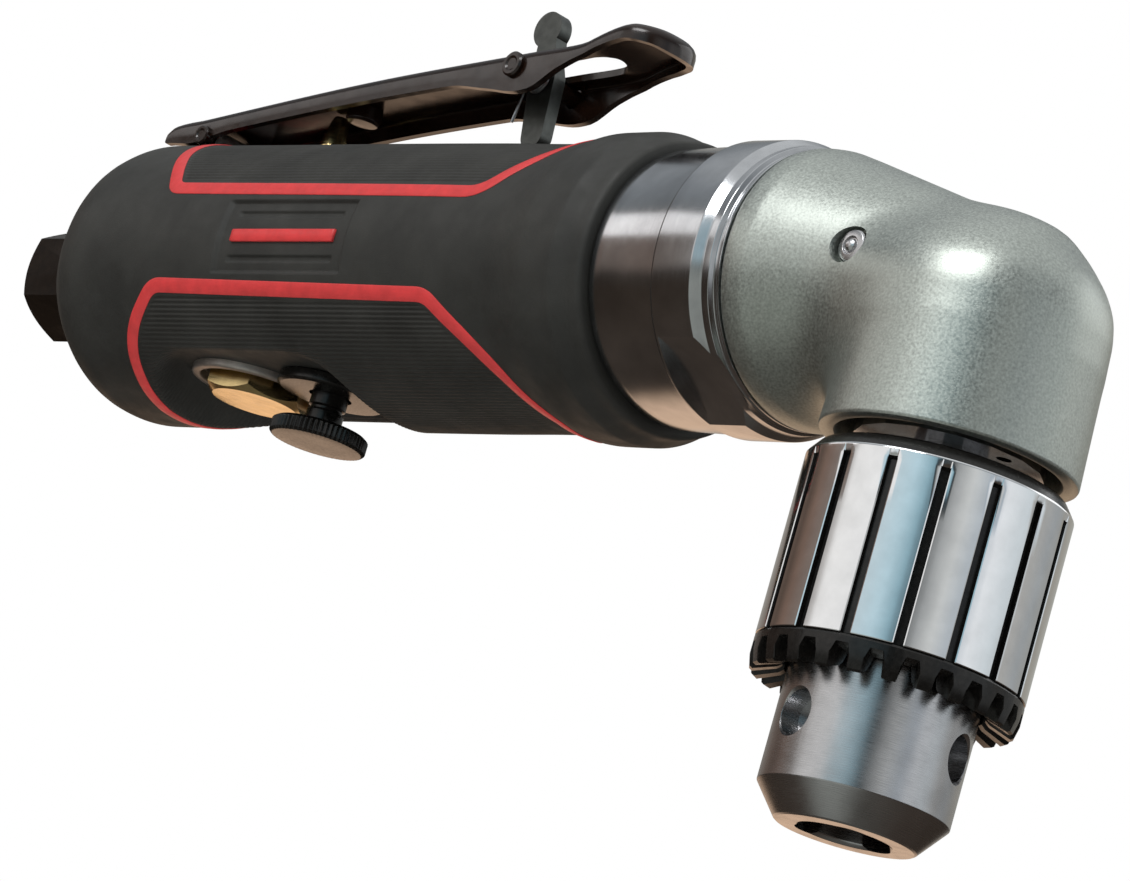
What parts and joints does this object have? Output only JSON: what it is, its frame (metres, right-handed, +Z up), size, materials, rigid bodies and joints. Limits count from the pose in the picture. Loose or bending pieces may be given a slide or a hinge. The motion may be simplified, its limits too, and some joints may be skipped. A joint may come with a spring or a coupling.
{
  "type": "right-angle air drill",
  "caption": "Right-angle pneumatic drill: round rubber-gripped motor body, lever throttle with lock-off latch, angled gear head and keyed three-jaw chuck.",
  "frame": {"origin": "middle of the bounding box's base, level with the front face of the chuck", "axes": "+X along the motor axis from the air inlet to the gear head, +Z up, away from the chuck's nose, which points along -Z; the lever is on top"},
  "size_m": [0.2124, 0.0434, 0.1159],
  "materials": {
    "grip_rubber": "matte, finely ribbed inside the red stripes",
    "lever_black": "gloss black over pressed sheet steel",
    "latch_steel": "dark phosphate",
    "spring_steel": "drawn wire",
    "machined_steel": "ground and turned",
    "dark_steel": "blued, polished",
    "black_oxide": "black oxide on turned steel",
    "chuck_chrome": "polished with black grooves",
    "head_metal": "cast metal with a fine silver-green sparkle finish",
    "housing_metal": "satin machined",
    "brass": "bright turned",
    "inlet_bronze": "dark bronzed steel",
    "seal_rubber": "matte nitrile",
    "vane_resin": "fabric-filled phenolic",
    "bush_bronze": "sintered bronze"
  },
  "bodies": {
    "root": {"inlet_bushing": "inlet_bronze", "inlet_screen": "machined_steel", "motor_housing": "housing_metal", "grip_sleeve": "grip_rubber", "lever_pin": "lever_black", "valve_seat": "brass", "stem_seal": "seal_rubber", "stem_bushing": "brass", "valve_spring": "spring_steel", "valve_plug": "brass", "plug_seal": "seal_rubber", "regulator_flange": "black_oxide", "rear_end_plate": "machined_steel", "rear_rotor_bearing": "machined_steel", "cylinder_liner": "machined_steel", "front_end_plate": "machined_steel", "front_rotor_bearing": "machined_steel", "ring_gear": "dark_steel", "carrier_bearing": "machined_steel", "clamp_collar": "dark_steel", "head_housing": "head_metal", "grease_fitting": "machined_steel", "pinion_bearing": "machined_steel", "spindle_bush": "bush_bronze", "spindle_bearing": "machined_steel", "bearing_cap": "dark_steel"},
    "lever": {"throttle_lever": "lever_black", "latch_pin": "lever_black", "latch_spring": "spring_steel"},
    "latch": {"lockoff_latch": "latch_steel"},
    "valve": {"valve_stem": "brass", "valve_poppet": "seal_rubber"},
    "regulator": {"regulator_spindle": "black_oxide", "regulator_knob": "black_oxide"},
    "rotor": {"rotor": "machined_steel", "rotor_vane_1": "vane_resin", "rotor_vane_2": "vane_resin", "rotor_vane_3": "vane_resin", "rotor_vane_4": "vane_resin", "rotor_vane_5": "vane_resin"},
    "carrier": {"planet_carrier": "dark_steel", "planet_pin_1": "machined_steel", "planet_pin_2": "machined_steel", "planet_pin_3": "machined_steel", "bevel_pinion": "dark_steel"},
    "planet_1": {"planet_gear_1": "dark_steel"},
    "planet_2": {"planet_gear_2": "dark_steel"},
    "planet_3": {"planet_gear_3": "dark_steel"},
    "spindle": {"spindle": "machined_steel", "bevel_gear": "dark_steel", "chuck_body": "machined_steel"},
    "sleeve": {"chuck_sleeve": "chuck_chrome", "chuck_nut_half_1": "machined_steel", "chuck_nut_half_2": "machined_steel"},
    "jaw_1": {"chuck_jaw_1": "dark_steel"},
    "jaw_2": {"chuck_jaw_2": "dark_steel"},
    "jaw_3": {"chuck_jaw_3": "dark_steel"}
  },
  "joints": [
    {"name": "lever_press", "type": "hinge", "parent": "root", "child": "lever", "pos_m": [-0.0746, 0, 0.0953], "axis": [0, 1, 0], "range_deg": [0, 5], "stiffness_Nm_per_rad": 0.9, "springref_deg": -20.05},
    {"name": "latch_swing", "type": "hinge", "parent": "lever", "child": "latch", "pos_m": [-0.0091, 0, 0.1051], "axis": [0, 1, 0], "range_deg": [0, 65]},
    {"name": "valve_travel", "type": "slide", "parent": "root", "child": "valve", "axis": [0, 0, -1], "range_m": [0, 0.00195], "deforming": ["valve_spring"]},
    {"name": "regulator_turn", "type": "hinge", "parent": "root", "child": "regulator", "pos_m": [-0.0357, 0, 0.0535], "axis": [0, 0, 1], "range_deg": [-135, 135]},
    {"name": "spindle_spin", "type": "hinge", "parent": "root", "child": "spindle", "pos_m": [0.0885, 0, 0.0335], "axis": [0, 0, 1], "continuous": true},
    {"name": "carrier_spin", "type": "hinge", "parent": "root", "child": "carrier", "pos_m": [0.0268, 0, 0.0735], "axis": [1, 0, 0], "continuous": true},
    {"name": "rotor_spin", "type": "hinge", "parent": "root", "child": "rotor", "pos_m": [-0.0062, 0, 0.0735], "axis": [1, 0, 0], "continuous": true},
    {"name": "planet_spin_1", "type": "hinge", "parent": "carrier", "child": "planet_1", "pos_m": [0.0198, 0, 0.0825], "axis": [1, 0, 0], "continuous": true},
    {"name": "planet_spin_2", "type": "hinge", "parent": "carrier", "child": "planet_2", "pos_m": [0.0198, -0.00779, 0.069], "axis": [1, 0, 0], "continuous": true},
    {"name": "planet_spin_3", "type": "hinge", "parent": "carrier", "child": "planet_3", "pos_m": [0.0198, 0.00779, 0.069], "axis": [1, 0, 0], "continuous": true},
    {"name": "chuck_sleeve_turn", "type": "hinge", "parent": "spindle", "child": "sleeve", "pos_m": [0.0885, 0, 0.0335], "axis": [0, 0, 1], "range_deg": [0, 3240]},
    {"name": "jaw_slide_1", "type": "slide", "parent": "spindle", "child": "jaw_1", "axis": [-0.1983, 0.1664, -0.9659], "range_m": [0, 0.01801]},
    {"name": "jaw_slide_2", "type": "slide", "parent": "spindle", "child": "jaw_2", "axis": [-0.0449, -0.2549, -0.9659], "range_m": [0, 0.01801]},
    {"name": "jaw_slide_3", "type": "slide", "parent": "spindle", "child": "jaw_3", "axis": [0.2432, 0.0885, -0.9659], "range_m": [0, 0.01801]}
  ],
  "couplings": [
    {"joint": "latch_swing", "follows": "lever_press", "ratio": 13},
    {"joint": "valve_travel", "follows": "lever_press", "m_per_rad": 0.0223},
    {"joint": "carrier_spin", "follows": "spindle_spin", "ratio": -1.5},
    {"joint": "rotor_spin", "follows": "spindle_spin", "ratio": -7.5},
    {"joint": "planet_spin_1", "follows": "spindle_spin", "ratio": 4},
    {"joint": "planet_spin_2", "follows": "spindle_spin", "ratio": 4},
    {"joint": "planet_spin_3", "follows": "spindle_spin", "ratio": 4},
    {"joint": "jaw_slide_1", "follows": "chuck_sleeve_turn", "m_per_rad": 0.00031831},
    {"joint": "jaw_slide_2", "follows": "chuck_sleeve_turn", "m_per_rad": 0.00031831},
    {"joint": "jaw_slide_3", "follows": "chuck_sleeve_turn", "m_per_rad": 0.00031831}
  ]
}
